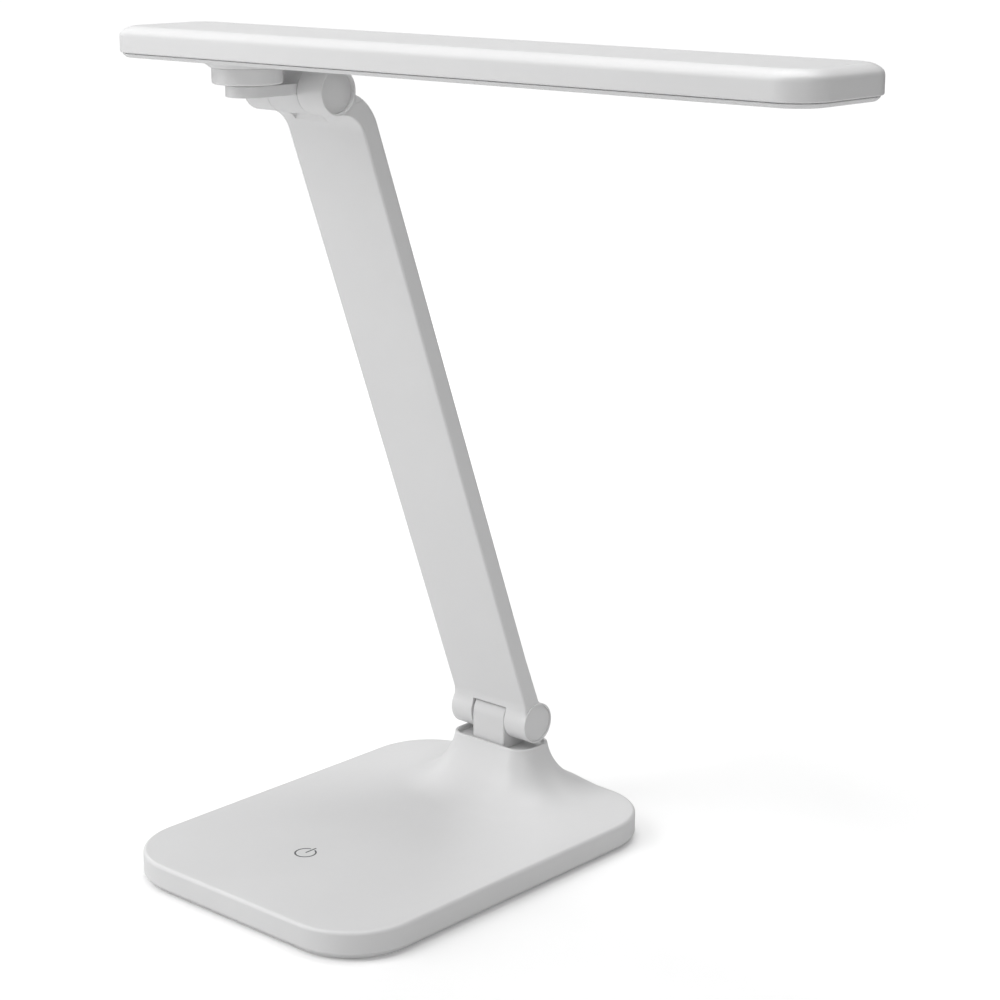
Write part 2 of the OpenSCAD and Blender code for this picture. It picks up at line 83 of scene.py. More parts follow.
# ---------------------------------------------------------------- mesh tools
def make(name, verts, faces):
    """A mesh object from points in millimetres, with its normals pointing out."""
    me = bpy.data.meshes.new(name)
    me.from_pydata([tuple(float(c) * MM for c in v) for v in verts], [], faces)
    bm = bmesh.new()
    bm.from_mesh(me)
    bmesh.ops.recalc_face_normals(bm, faces=bm.faces)
    bm.to_mesh(me)
    bm.free()
    me.validate()
    ob = bpy.data.objects.new(name, me)
    scene.collection.objects.link(ob)
    return ob


def loft(name, loops, closed=False):
    """Skin over a stack of loops with the same number of points; open stacks get flat ends."""
    n, k = len(loops[0]), len(loops)
    verts = [p for l in loops for p in l]
    faces = []
    for a in range(k if closed else k - 1):
        b = (a + 1) % k
        for i in range(n):
            j = (i + 1) % n
            faces.append((a * n + i, a * n + j, b * n + j, b * n + i))
    if not closed:
        faces.append(tuple(reversed(range(n))))
        faces.append(tuple(range((k - 1) * n, k * n)))
    return make(name, verts, faces)


def rrect(a, b, r, cx=0.0, cy=0.0, nc=12, nx=8, ny=8):
    """Rounded rectangle, half sizes a and b, counter-clockwise, as (x, y) points."""
    r = max(r, 0.02)
    pts = []
    corners = [(a - r, b - r, 0), (-(a - r), b - r, 90), (-(a - r), -(b - r), 180), (a - r, -(b - r), 270)]
    for q, (x, y, a0) in enumerate(corners):
        for i in range(nc + 1):
            t = math.radians(a0 + 90.0 * i / nc)
            pts.append((cx + x + r * math.cos(t), cy + y + r * math.sin(t)))
        x2, y2, a2 = corners[(q + 1) % 4]
        e0 = (cx + x + r * math.cos(math.radians(a0 + 90)), cy + y + r * math.sin(math.radians(a0 + 90)))
        e1 = (cx + x2 + r * math.cos(math.radians(a2)), cy + y2 + r * math.sin(math.radians(a2)))
        m = nx if q % 2 == 0 else ny
        for i in range(1, m):
            t = i / m
            pts.append((e0[0] + (e1[0] - e0[0]) * t, e0[1] + (e1[1] - e0[1]) * t))
    return pts


def plate(name, a, b, r, prof, cx=0.0, cy=0.0, nc=12, nx=8, ny=8, closed=False):
    """Body with a rounded-rectangle plan; prof lists (inset, z)."""
    return loft(name, [[(x, y, z) for x, y in rrect(a - d, b - d, r - d, cx, cy, nc, nx, ny)] for d, z in prof], closed)


def lathe(name, prof, centre, axis="z", n=96, flip=1.0):
    """Turned body; prof lists (radius, height) from the axis round to the axis again."""
    loops = []
    for r, h in prof:
        loop = []
        for i in range(n):
            t = 2 * math.pi * i / n
            c, s = max(r, 1e-4) * math.cos(t), max(r, 1e-4) * math.sin(t)
            if axis == "z":
                loop.append((centre[0] + c, centre[1] + s, centre[2] + flip * h))
            elif axis == "x":
                loop.append((centre[0] + flip * h, centre[1] + c, centre[2] + s))
            else:
                loop.append((centre[0] + c, centre[1] + flip * h, centre[2] + s))
        loops.append(loop)
    return loft(name, loops)


def arc2(c, r, a0, a1, n):
    return [(c[0] + r * math.cos(math.radians(a0 + (a1 - a0) * i / n)), c[1] + r * math.sin(math.radians(a0 + (a1 - a0) * i / n))) for i in range(n + 1)]


def corner(p, q, s, n=5):
    """Smooth corner from p by q to s, as a quadratic curve."""
    return [tuple((1 - t) ** 2 * p[k] + 2 * t * (1 - t) * q[k] + t * t * s[k] for k in (0, 1)) for t in [i / n for i in range(n + 1)]]


def box(name, lo, hi):
    x0, y0, z0 = lo
    x1, y1, z1 = hi
    v = [(x0, y0, z0), (x1, y0, z0), (x1, y1, z0), (x0, y1, z0), (x0, y0, z1), (x1, y0, z1), (x1, y1, z1), (x0, y1, z1)]
    return make(name, v, [(0, 3, 2, 1), (4, 5, 6, 7), (0, 1, 5, 4), (1, 2, 6, 5), (2, 3, 7, 6), (3, 0, 4, 7)])


def xcyl(name, r, x0, x1, cy, cz, n=96):
    return lathe(name, [(0, 0), (r, 0), (r, x1 - x0), (0, x1 - x0)], (x0, cy, cz), "x", n)


def zcyl(name, r, z0, z1, cx, cy, n=48):
    return lathe(name, [(0, 0), (r, 0), (r, z1 - z0), (0, z1 - z0)], (cx, cy, z0), "z", n)


def arm_place(ob):
    """From the arm's own frame (x, depth, length from the lower pin) to the shared one."""
    m = Matrix.Translation((0, LY * MM, LZ * MM)) @ Matrix.Rotation(LEAN, 4, "X")
    ob.data.transform(m)
    return ob


def boolean(ob, cutters, op="DIFFERENCE"):
    """Cuts or joins the solids one after another, and removes them."""
    for c in cutters:
        before = len(ob.data.polygons)
        done = False
        for solver in ("MANIFOLD", "EXACT"):
            m = ob.modifiers.new("b", "BOOLEAN")
            m.operation = op
            m.object = c
            try:
                m.solver = solver
            except TypeError:
                ob.modifiers.remove(m)
                continue
            bpy.context.view_layer.update()
            dg = bpy.context.evaluated_depsgraph_get()
            me = bpy.data.meshes.new_from_object(ob.evaluated_get(dg))
            ob.modifiers.remove(m)
            if len(me.polygons) > 3 and not open_edges(me):
                old = ob.data
                ob.data = me
                me.name = ob.name
                bpy.data.meshes.remove(old)
                done = True
                break
            bpy.data.meshes.remove(me)
        if not done:
            print("BOOLEAN LEFT OUT", ob.name, c.name, before)
        cm = c.data
        bpy.data.objects.remove(c)
        bpy.data.meshes.remove(cm)
    return ob


def open_edges(me):
    bm = bmesh.new()
    bm.from_mesh(me)
    n = sum(1 for e in bm.edges if len(e.link_faces) != 2)
    bm.free()
    return n


def finish_mesh(ob, angle=32.0, weld=1e-6):
    """Merges doubles and sets smooth shading with sharp edges above the angle."""
    bm = bmesh.new()
    bm.from_mesh(ob.data)
    bmesh.ops.remove_doubles(bm, verts=bm.verts, dist=weld)
    bmesh.ops.dissolve_degenerate(bm, edges=bm.edges, dist=weld)
    bm.to_mesh(ob.data)
    n = sum(1 for e in bm.edges if len(e.link_faces) != 2)
    if n:
        print("OPEN EDGES", ob.name, n)
    bm.free()
    ob.data.polygons.foreach_set("use_smooth", [True] * len(ob.data.polygons))
    ob.data.set_sharp_from_angle(angle=math.radians(angle))
    w = ob.modifiers.new("normals", "WEIGHTED_NORMAL")
    w.mode = "FACE_AREA"
    w.weight = 50
    w.keep_sharp = True
    return ob


# ---------------------------------------------------------------- materials
def principled(name):
    m = bpy.data.materials.new(name)
    m.use_nodes = True
    nt = m.node_tree
    nt.nodes.clear()
    out = nt.nodes.new("ShaderNodeOutputMaterial")
    p = nt.nodes.new("ShaderNodeBsdfPrincipled")
    nt.links.new(p.outputs[0], out.inputs[0])
    return m, nt, p


def ramp(nt, src, lo, hi, a=0.3, b=0.7):
    r = nt.nodes.new("ShaderNodeMapRange")
    r.inputs["From Min"].default_value = a
    r.inputs["From Max"].default_value = b
    r.inputs["To Min"].default_value = lo
    r.inputs["To Max"].default_value = hi
    nt.links.new(src, r.inputs["Value"])
    return r.outputs[0]


def noise(nt, co, scale, detail=2.0, rough=0.5):
    n = nt.nodes.new("ShaderNodeTexNoise")
    n.inputs["Scale"].default_value = scale
    n.inputs["Detail"].default_value = detail
    n.inputs["Roughness"].default_value = rough
    nt.links.new(co, n.inputs["Vector"])
    return n.outputs[0]


def coords(nt):
    return nt.nodes.new("ShaderNodeTexCoord").outputs["Object"]


def tint(nt, src, c0, c1, a=0.35, b=0.65):
    m = nt.nodes.new("ShaderNodeMix")
    m.data_type = "RGBA"
    m.inputs[6].default_value = (*c0, 1)
    m.inputs[7].default_value = (*c1, 1)
    nt.links.new(ramp(nt, src, 0, 1, a, b), m.inputs[0])
    return m.outputs[2]


def bumped(nt, p, height, strength, dist, edge=0.0):
    b = nt.nodes.new("ShaderNodeBump")
    b.inputs["Strength"].default_value = strength
    b.inputs["Distance"].default_value = dist
    nt.links.new(height, b.inputs["Height"])
    if edge:
        e = nt.nodes.new("ShaderNodeBevel")
        e.samples = 6
        e.inputs["Radius"].default_value = edge
        nt.links.new(e.outputs[0], b.inputs["Normal"])
    nt.links.new(b.outputs[0], p.inputs["Normal"])


def moulded(name, c0, c1, r0, r1, grain=2600.0, strength=0.10, edge=0.00025, sss=0.0):
    """Moulded plastic: fine spark-eroded grain, faint flow marks in colour and gloss, softened edges."""
    m, nt, p = principled(name)
    co = coords(nt)
    fine = noise(nt, co, grain, 3.0, 0.6)
    mid = noise(nt, co, grain * 0.22, 2.0, 0.5)
    slow = noise(nt, co, 22.0, 3.0, 0.5)
    nt.links.new(tint(nt, slow, c0, c1), p.inputs["Base Color"])
    nt.links.new(ramp(nt, mid, r0, r1), p.inputs["Roughness"])
    add = nt.nodes.new("ShaderNodeMath")
    add.operation = "MULTIPLY_ADD"
    add.inputs[1].default_value = 0.5
    nt.links.new(mid, add.inputs[0])
    nt.links.new(fine, add.inputs[2])
    bumped(nt, p, add.outputs[0], strength, 0.00006, edge)
    p.inputs["IOR"].default_value = 1.5
    if sss:
        p.inputs["Subsurface Weight"].default_value = sss
        p.inputs["Subsurface Radius"].default_value = (0.0012, 0.001, 0.0009)
        p.inputs["Subsurface Scale"].default_value = 1.0
    return m


def metal(name, c0, c1, r0, r1, scale=900.0, edge=0.00015):
    """Plated metal with a fine drawn grain and small stains."""
    m, nt, p = principled(name)
    co = coords(nt)
    mp = nt.nodes.new("ShaderNodeMapping")
    mp.inputs["Scale"].default_value = (1.0, 1.0, 0.12)
    nt.links.new(co, mp.inputs["Vector"])
    g = noise(nt, mp.outputs[0], scale, 4.0, 0.6)
    s = noise(nt, co, 160.0, 3.0, 0.6)
    nt.links.new(tint(nt, s, c0, c1), p.inputs["Base Color"])
    nt.links.new(ramp(nt, g, r0, r1), p.inputs["Roughness"])
    p.inputs["Metallic"].default_value = 1.0
    bumped(nt, p, g, 0.12, 0.00004, edge)
    return m


def dull(name, c0, c1, r0, r1, kind="noise", scale=900.0, strength=0.5, dist=0.0002, spec=0.5):
    """Rubber, film, solder mask and other non-metals, with a surface pattern."""
    m, nt, p = principled(name)
    co = coords(nt)
    if kind == "cells":
        v = nt.nodes.new("ShaderNodeTexVoronoi")
        v.inputs["Scale"].default_value = scale
        nt.links.new(co, v.inputs["Vector"])
        h = v.outputs["Distance"]
    elif kind == "ribs":
        v = nt.nodes.new("ShaderNodeTexWave")
        v.bands_direction = "X"
        v.inputs["Scale"].default_value = scale
        v.inputs["Distortion"].default_value = 0.4
        nt.links.new(co, v.inputs["Vector"])
        h = v.outputs["Color"]
    else:
        h = noise(nt, co, scale, 3.0, 0.6)
    s = noise(nt, co, 60.0, 3.0, 0.6)
    nt.links.new(tint(nt, s, c0, c1), p.inputs["Base Color"])
    nt.links.new(ramp(nt, s, r0, r1), p.inputs["Roughness"])
    p.inputs["Specular IOR Level"].default_value = spec
    bumped(nt, p, h, strength, dist)
    return m


W0, W1 = (0.775, 0.775, 0.777), (0.79, 0.79, 0.792)
MAT = {
    "white_shell": moulded("white_shell", W0, W1, 0.36, 0.46),
    "hinge_lug": moulded("hinge_lug", (0.74, 0.74, 0.745), (0.76, 0.76, 0.762), 0.36, 0.46, grain=1500.0, strength=0.14),
    "counterweight": metal("counterweight", (0.16, 0.16, 0.17), (0.24, 0.23, 0.23), 0.55, 0.75, 500.0),
    "steel": metal("steel", (0.62, 0.63, 0.66), (0.72, 0.72, 0.73), 0.26, 0.42),
    "electrode": metal("electrode", (0.74, 0.52, 0.24), (0.82, 0.62, 0.32), 0.25, 0.4),
    "board": dull("board", (0.015, 0.10, 0.045), (0.02, 0.14, 0.06), 0.25, 0.4, "ribs", 260.0, 0.2, 0.00005),
    "mat": dull("mat", (0.018, 0.018, 0.020), (0.032, 0.032, 0.034), 0.75, 0.92, "cells", 520.0, 0.8, 0.0004, 0.3),
    "wire": dull("wire", (0.02, 0.02, 0.022), (0.035, 0.035, 0.037), 0.4, 0.55, "noise", 1200.0, 0.3, 0.0001),
    "symbol": dull("symbol", (0.088, 0.090, 0.094), (0.112, 0.114, 0.118), 0.5, 0.6, "noise", 2600.0, 0.15, 0.00003),
    "led_chip": dull("led_chip", (0.82, 0.60, 0.12), (0.88, 0.68, 0.18), 0.2, 0.3, "cells", 1500.0, 0.3, 0.0001),
    "led_board": dull("led_board", (0.78, 0.79, 0.79), (0.84, 0.84, 0.84), 0.3, 0.45, "ribs", 120.0, 0.15, 0.00005),
    "reflector": dull("reflector", (0.86, 0.86, 0.85), (0.90, 0.90, 0.89), 0.25, 0.4, "noise", 900.0, 0.1, 0.00005),
    "diffuser": moulded("diffuser", (0.86, 0.86, 0.84), (0.90, 0.90, 0.885), 0.30, 0.38, grain=1400.0, strength=0.2, sss=0.4),
    "slip_washer": moulded("slip_washer", (0.66, 0.66, 0.60), (0.72, 0.72, 0.66), 0.35, 0.45, grain=1800.0),
}
slot_of = {s["node"]: s["material_slot"] for s in frame["record"].get("subparts", [])}


def dress(ob, slot, body, *replaced):
    """Material, body and the CAD solids a piece stands for."""
    ob.data.materials.clear()
    ob.data.materials.append(MAT[slot])
    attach(ob, body)
    if replaced:
        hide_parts(*replaced)
    return ob


for n, ob in nodes.items():
    ob.data.materials.clear()
    ob.data.materials.append(MAT[slot_of.get(n, "white_shell")])


# ---------------------------------------------------------------- base
def rho_at(x, y):
    return math.hypot(max(abs(x) - NCX, 0.0), max(abs(y - LY) - NCY, 0.0))


def top_z(x, y):
    q = FLRHO - rho_at(x, y)
    return BH if q <= 0 else FLZ - math.sqrt(max(FLR ** 2 - q * q, 0.0))


def under_z(x, y):
    q = FLRHO - rho_at(x, y)
    return BH - 2 if q <= 0 else FLZ - math.sqrt(max((FLR + 2) ** 2 - q * q, 0.0))


def base_shell():
    kw = dict(nc=22, nx=12, ny=16)
    E = 1.5
    out = lambda d: rrect(BW / 2 - d, BD / 2 - d, BR - d, 0, 0, **kw)
    neck = lambda rho: rrect(NCX + rho, NCY + rho, rho, 0, LY, **kw)
    loops = [[(x, y, SZ0) for x, y in out(WALL)], [(x, y, SZ0) for x, y in out(0.32)]]
    for a in (30, 60, 90):
        d, h = 0.32 * (1 - math.sin(math.radians(a))), 0.32 * (1 - math.cos(math.radians(a)))
        loops.append([(x, y, SZ0 + h) for x, y in out(d)])
    loops.append([(x, y, top_z(x, y) - E - 0.3) for x, y in out(0)])
    for i in range(0, 7):
        a = math.radians(15 * i)
        loops.append([(x, y, top_z(x, y) - E * (1 - math.sin(a))) for x, y in out(E * (1 - math.cos(a)))])
    a, b = out(E), neck(NR + 0.07)
    K = 56
    for k in range(1, K + 1):
        t = 1 - (1 - k / K) ** 1.8
        loops.append([(p[0] + (q[0] - p[0]) * t, p[1] + (q[1] - p[1]) * t, 0) for p, q in zip(a, b)])
        loops[-1] = [(x, y, top_z(x, y)) for x, y, _ in loops[-1]]
    rim = 0.5
    for i in range(1, 6):
        t = math.radians(18 * i)
        loops.append([(x, y, NECK_TOP - rim * (1 - math.sin(t))) for x, y in neck(NR - rim * (1 - math.cos(t)))])
    for i in range(0, 5):
        t = math.radians(22.5 * i)
        loops.append([(x, y, NECK_TOP - 0.35 * (1 - math.cos(t))) for x, y in neck(6.2 + 0.35 * (1 - math.sin(t)))])
    fl = NECK_TOP - DISH
    for i in range(0, 5):
        t = math.radians(22.5 * i)
        loops.append([(x, y, fl + 0.4 * (1 - math.sin(t))) for x, y in neck(6.2 - 0.4 * (1 - math.cos(t)))])
    lo = NECK_TOP - 4.6
    hole = rrect(LUG_HALF + 0.2, LUG_D + 0.2, 0.4, 0, LY, **kw)
    loops.append([(x, y, fl) for x, y in hole])
    loops.append([(x, y, lo) for x, y in hole])
    c, d = neck(6.6), out(WALL)
    K = 26
    for k in range(0, K + 1):
        t = (k / K) ** 1.8
        row = [(p[0] + (q[0] - p[0]) * t, p[1] + (q[1] - p[1]) * t) for p, q in zip(c, d)]
        loops.append([(x, y, min(under_z(x, y), lo)) for x, y in row])
    ob = loft("base_shell", loops, closed=True)
    port = loft("c", [[(x, y, z) for x, z in rrect(4.6, 1.7, 1.7, USB[0], USB[1], 10, 2, 2)] for y in (85.0, 91.5)])
    boolean(ob, [port])
    return dress(finish_mesh(ob), "white_shell", "base", "base_upper_shell")


base_shell()

cover = plate("base_cover", BW / 2, BD / 2, BR, [
    (9.0, 1.0), (9.0, 0.7), (8.9, 0.6), (2.3, 0.6), (1.95, 0.68), (1.7, 0.88), (0.92, 2.22), (0.82, 2.42), (0.88, 2.52), (1.1, 2.55),
    (2.5, 2.55), (2.5, 4.0), (2.6, 4.1), (12.5, 4.1), (12.7, 4.0), (12.7, 3.1)], nc=22, nx=12, ny=16)
boolean(cover, [zcyl("c", 3.0, 0.0, 1.9, x, y) for x, y in SCR])
dress(finish_mesh(cover), "white_shell", "base", "base_bottom_cover")


def foot_mat():
    """Foam mat with a moulded lattice of shallow round studs on its lower face."""
    ob = plate("foot_mat", BW / 2 - 9.3, BD / 2 - 9.3, BR - 9.3, [(0.4, 0.98), (0.0, 0.9), (0.0, 0.35), (0.12, 0.18), (0.4, 0.12)], nc=14, nx=6, ny=6)
    verts, faces = [], []
    for j in range(-17, 18):
        for i in range(-12, 13):
            x, y = i * 4.6 + (2.3 if j % 2 else 0), j * 4.2
            if max(abs(x) - 37, 0) ** 2 + max(abs(y) - 59, 0) ** 2 > 16.5 ** 2 or abs(x) > 54 or abs(y) > 76:
                continue
            v0 = len(verts)
            for r, z in ((1.5, 0.3), (1.5, 0.06), (1.3, 0.0)):
                for a in range(10):
                    t = 2 * math.pi * a / 10
                    verts.append((x + r * math.cos(t), y + r * math.sin(t), z))
            for k in range(2):
                for a in range(10):
                    b = (a + 1) % 10
                    faces.append((v0 + k * 10 + a, v0 + k * 10 + b, v0 + k * 10 + 10 + b, v0 + k * 10 + 10 + a))
            faces.append(tuple(v0 + a for a in range(10)))
            faces.append(tuple(v0 + 20 + a for a in range(10)))
    studs = make("foot_studs", verts, faces)
    return ob, studs


mat_ob, studs = foot_mat()
dress(finish_mesh(mat_ob), "mat", "base", "anti_slip_mat")
dress(finish_mesh(studs), "mat", "base", "anti_slip_mat")


def touch_mark():
    z0, z1 = BH - 0.2, BH + 0.02
    pts = []
    half = math.degrees(math.asin(1.08 / 4.12))
    a0, a1 = 90 + half, 450 - half
    pts += [(4.45 * math.cos(math.radians(a0 + (a1 - a0) * i / 80)), 4.45 * math.sin(math.radians(a0 + (a1 - a0) * i / 80))) for i in range(81)]
    pts += [(3.79 * math.cos(math.radians(a1 + (a0 - a1) * i / 80)), 3.79 * math.sin(math.radians(a1 + (a0 - a1) * i / 80))) for i in range(81)]
    ring = loft("touch_ring", [[(SYM[0] + x, SYM[1] + y, z) for x, y in pts] for z in (z0, z1)])
    bar = loft("touch_bar", [[(x, y, z) for x, y in rrect(0.34, 2.9, 0.3, SYM[0], SYM[1] + 2.95, 6, 1, 2)] for z in (z0, z1)])
    dress(finish_mesh(ring), "symbol", "base", "touch_symbol")
    dress(finish_mesh(bar), "symbol", "base", "touch_symbol")


touch_mark()


def screw(name, head_r, head_h, shaft_r, length, place):
    """Pan-head screw with a cross recess; its head faces down before place is applied."""
    ob = lathe(name, [(0, 0), (head_r * 0.55, 0.0), (head_r * 0.82, 0.08), (head_r * 0.96, 0.24), (head_r, 0.45), (head_r, head_h - 0.08), (head_r - 0.08, head_h),
                      (shaft_r, head_h), (shaft_r, head_h + length - 0.5), (shaft_r * 0.5, head_h + length), (0, head_h + length)], (0, 0, 0), "z", 40)
    w, l, dp = head_r * 0.13, head_r * 0.56, min(0.62, head_h * 0.7)
    cut = []
    for a, b in ((l, w), (w, l)):
        cut.append(loft("c", [[(x, y, z) for x, y in rrect(max(a - t, 0.04), max(b - t * 0.3, 0.04), 0.03, 0, 0, 2, 1, 1)] for z, t in ((-0.2, 0), (0.0, 0), (dp, l * 0.45))]))
    boolean(ob, cut)
    ob.data.transform(place)
    return finish_mesh(ob, 28)


def joined(name, obs):
    """One object from several closed solids."""
    me = bpy.data.meshes.new(name)
    bm = bmesh.new()
    for o in obs:
        bm.from_mesh(o.data)
    bm.to_mesh(me)
    bm.free()
    for o in obs:
        d = o.data
        bpy.data.objects.remove(o)
        bpy.data.meshes.remove(d)
    ob = bpy.data.objects.new(name, me)
    scene.collection.objects.link(ob)
    return finish_mesh(ob, 28, 1e-8)


T = lambda x, y, z: Matrix.Translation((x * MM, y * MM, z * MM))
spin = lambda i: Matrix.Rotation(math.radians(23 + 71 * i), 4, "Z")
s = [screw("s", 2.7, 1.05, 1.0, 4.9, T(x, y, 0.8) @ spin(i)) for i, (x, y) in enumerate(SCR)]
dress(joined("base_screw_set", s), "steel", "base", "base_screws")


# ---------------------------------------------------------------- lower hinge lug
def side_body(name, outline, half, radii, steps=5, chamfer=False):
    """Body from a side outline of (y, z, ny, nz) points, with its two side edges rounded by radii."""
    prof = []
    for i in range(steps + 1):
        a = math.radians(90.0 * i / steps)
        f = (1 - math.sin(a), 1 - math.cos(a)) if not chamfer else (1 - i / steps, i / steps)
        prof.append(f)
    loops = []
    for side in (-1, 1):
        rows = []
        for fi, fx in prof:            # from the inset end face to the full outline
            rows.append([(side * (half - r * fx), y - ny * r * fi, z - nz * r * fi) for (y, z, ny, nz), r in zip(outline, radii)])
        loops += rows if side < 0 else rows[::-1]
    return loft(name, loops)


def path(elements):
    """Outline from ('line', p, q, n) and ('arc', centre, r, a0, a1, n, sign) elements, with outward normals."""
    out = []
    for e in elements:
        if e[0] == "line":
            _, p, q, k = e
            dx, dy = q[0] - p[0], q[1] - p[1]
            l = math.hypot(dx, dy)
            nx, ny = dy / l, -dx / l
            seg = [(p[0] + dx * i / k, p[1] + dy * i / k, nx, ny) for i in range(k + 1)]
        else:
            _, c, r, a0, a1, k, sign = e
            seg = []
            for i in range(k + 1):
                t = math.radians(a0 + (a1 - a0) * i / k)
                seg.append((c[0] + r * math.cos(t), c[1] + r * math.sin(t), sign * math.cos(t), sign * math.sin(t)))
        for s_ in seg:
            if out and math.hypot(out[-1][0] - s_[0], out[-1][1] - s_[1]) < 1e-3:
                continue
            out.append(s_)
    if math.hypot(out[0][0] - out[-1][0], out[0][1] - out[-1][1]) < 1e-3:
        out.pop()
    return out


def lug():
    D = LUG_D
    cr = 0.8
    o = path([
        ("line", (LY + D, 12.0), (LY + D, LZ), 6),
        ("arc", (LY, LZ), D, 0, 180, 40, 1),
        ("line", (LY - D, LZ), (LY - D, 12.0), 6),
        ("arc", (LY - D + cr, 12.0), cr, 180, 270, 3, 1),
        ("line", (LY - D + cr, 12.0 - cr), (LY + D - cr, 12.0 - cr), 4),
        ("arc", (LY + D - cr, 12.0), cr, 270, 360, 3, 1)])
    leg = side_body("lower_lug", o, LUG_HALF, [0.75] * len(o), 4)
    foot = plate("c", 18.4, 8.0, 1.2, [(0.2, 7.25), (0.0, 7.4), (0.0, 12.2), (0.3, 12.6)], 0, LY, 6, 4, 2)
    boolean(leg, [foot], "UNION")
    holes = [zcyl("c", 2.95, 10.2, 16.0, x, LY, 40) for x in (-14, 14)] + [zcyl("c", 1.6, 5.0, 16.0, x, LY, 32) for x in (-14, 14)]
    holes.append(xcyl("c", 3.0, -12, 12, LY, LZ, 48))
    boolean(leg, holes)
    return dress(finish_mesh(leg), "hinge_lug", "base", "lower_hinge_lug")


lug()


# ---------------------------------------------------------------- arm
def circle_meet(c1, r1, c2, r2, pick):
    dx, dy = c2[0] - c1[0], c2[1] - c1[1]
    d = math.hypot(dx, dy)
    a = (r1 * r1 - r2 * r2 + d * d) / (2 * d)
    h = math.sqrt(max(r1 * r1 - a * a, 0))
    mx, my = c1[0] + a * dx / d, c1[1] + a * dy / d
    return max([(mx - h * dy / d, my + h * dx / d), (mx + h * dy / d, my - h * dx / d)], key=pick)


def arm_outline():
    L, U, B = (LY, LZ), (UY, UZ), (BY, BZ)
    br = BAR_R - 0.05
    u = (-math.sin(LEAN), math.cos(LEAN))
    nb = (math.cos(LEAN), math.sin(LEAN))
    lean = math.degrees(LEAN)
    el, rr = [], []
    # rear fillet at the lower barrel, rear face, outer bend
    rf = 2.6
    sf = math.sqrt((br + rf) ** 2 - (AB + rf) ** 2)
    cf = (L[0] + u[0] * sf + nb[0] * (AB + rf), L[1] + u[1] * sf + nb[1] * (AB + rf))
    a_l = math.degrees(math.atan2(L[1] - cf[1], L[0] - cf[0]))
    a_r = math.degrees(math.atan2(-nb[1], -nb[0]))
    while a_r > a_l: a_r -= 360
    rear = (("arc", cf, rf, a_l, a_r, 8, -1))
    p0 = (cf[0] - nb[0] * rf, cf[1] - nb[1] * rf)
    p1 = (B[0] + nb[0] * (BEND_R + ARM_TH), B[1] + nb[1] * (BEND_R + ARM_TH))
    # fillet between the outer bend and the upper barrel
    rg = 1.0
    cg = circle_meet(B, BEND_R + ARM_TH + rg, U, br + rg, lambda p: p[0])
    ab = math.degrees(math.atan2(cg[1] - B[1], cg[0] - B[0]))
    g0 = math.degrees(math.atan2(B[1] - cg[1], B[0] - cg[0]))
    g1 = math.degrees(math.atan2(U[1] - cg[1], U[0] - cg[0]))
    while g1 > g0: g1 -= 360
    while g1 < g0 - 180: g1 += 360
    au = math.degrees(math.atan2(cg[1] - U[1], cg[0] - U[0]))
    # front face, front fillet and lower barrel
    rh = 9.0
    sh = math.sqrt((br + rh) ** 2 - (AF + rh) ** 2)
    ch = (L[0] + u[0] * sh - nb[0] * (AF + rh), L[1] + u[1] * sh - nb[1] * (AF + rh))
    p2 = (B[0] + nb[0] * BEND_R, B[1] + nb[1] * BEND_R)
    p3 = (ch[0] + nb[0] * rh, ch[1] + nb[1] * rh)
    h0 = lean
    h1 = math.degrees(math.atan2(L[1] - ch[1], L[0] - ch[0]))
    while h1 > h0: h1 -= 360
    while h1 < h0 - 180: h1 += 360
    b0 = math.degrees(math.atan2(ch[1] - L[1], ch[0] - L[0]))
    b1 = math.degrees(math.atan2(cf[1] - L[1], cf[0] - L[0]))
    b0 %= 360
    b1 %= 360
    while b1 < b0: b1 += 360
    RB, RR, RF = 0.3, 2.0, 1.1
    parts = [
        (rear, (RB, 1.0)), (("line", p0, p1, 60), (1.0, RR)),
        (("arc", B, BEND_R + ARM_TH, lean, ab, 26, 1), (RR, 0.9)),
        (("arc", cg, rg, g0, g1, 5, -1), (0.9, RB)),
        (("arc", U, br, au, 270, 70, 1), (RB, RB)),
        (("line", (U[0], U[1] - br), (B[0], STRIP0), 2), (RB, RB)),
        (("arc", B, BEND_R, 90, lean, 20, -1), (RB, RF)),
        (("line", p2, p3, 60), (RF, RF)),
        (("arc", ch, rh, h0, h1, 10, -1), (RF, RB)),
        (("arc", L, br, b0, b1, 60, 1), (RB, RB))]
    outline, radii = [], []
    for e, (ra, rb) in parts:
        seg = path([e]) if e[0] == "line" else path([e])
        m = len(seg)
        for i, s_ in enumerate(seg):
            if outline and math.hypot(outline[-1][0] - s_[0], outline[-1][1] - s_[1]) < 1e-3:
                continue
            f = i / max(m - 1, 1)
            if e[0] == "line" and ra == 1.0:
                f = min(f * 12, 1.0)
            outline.append(s_)
            radii.append(ra + (rb - ra) * f)
    if math.hypot(outline[0][0] - outline[-1][0], outline[0][1] - outline[-1][1]) < 1e-3:
        outline.pop()
        radii.pop()
    return outline, radii


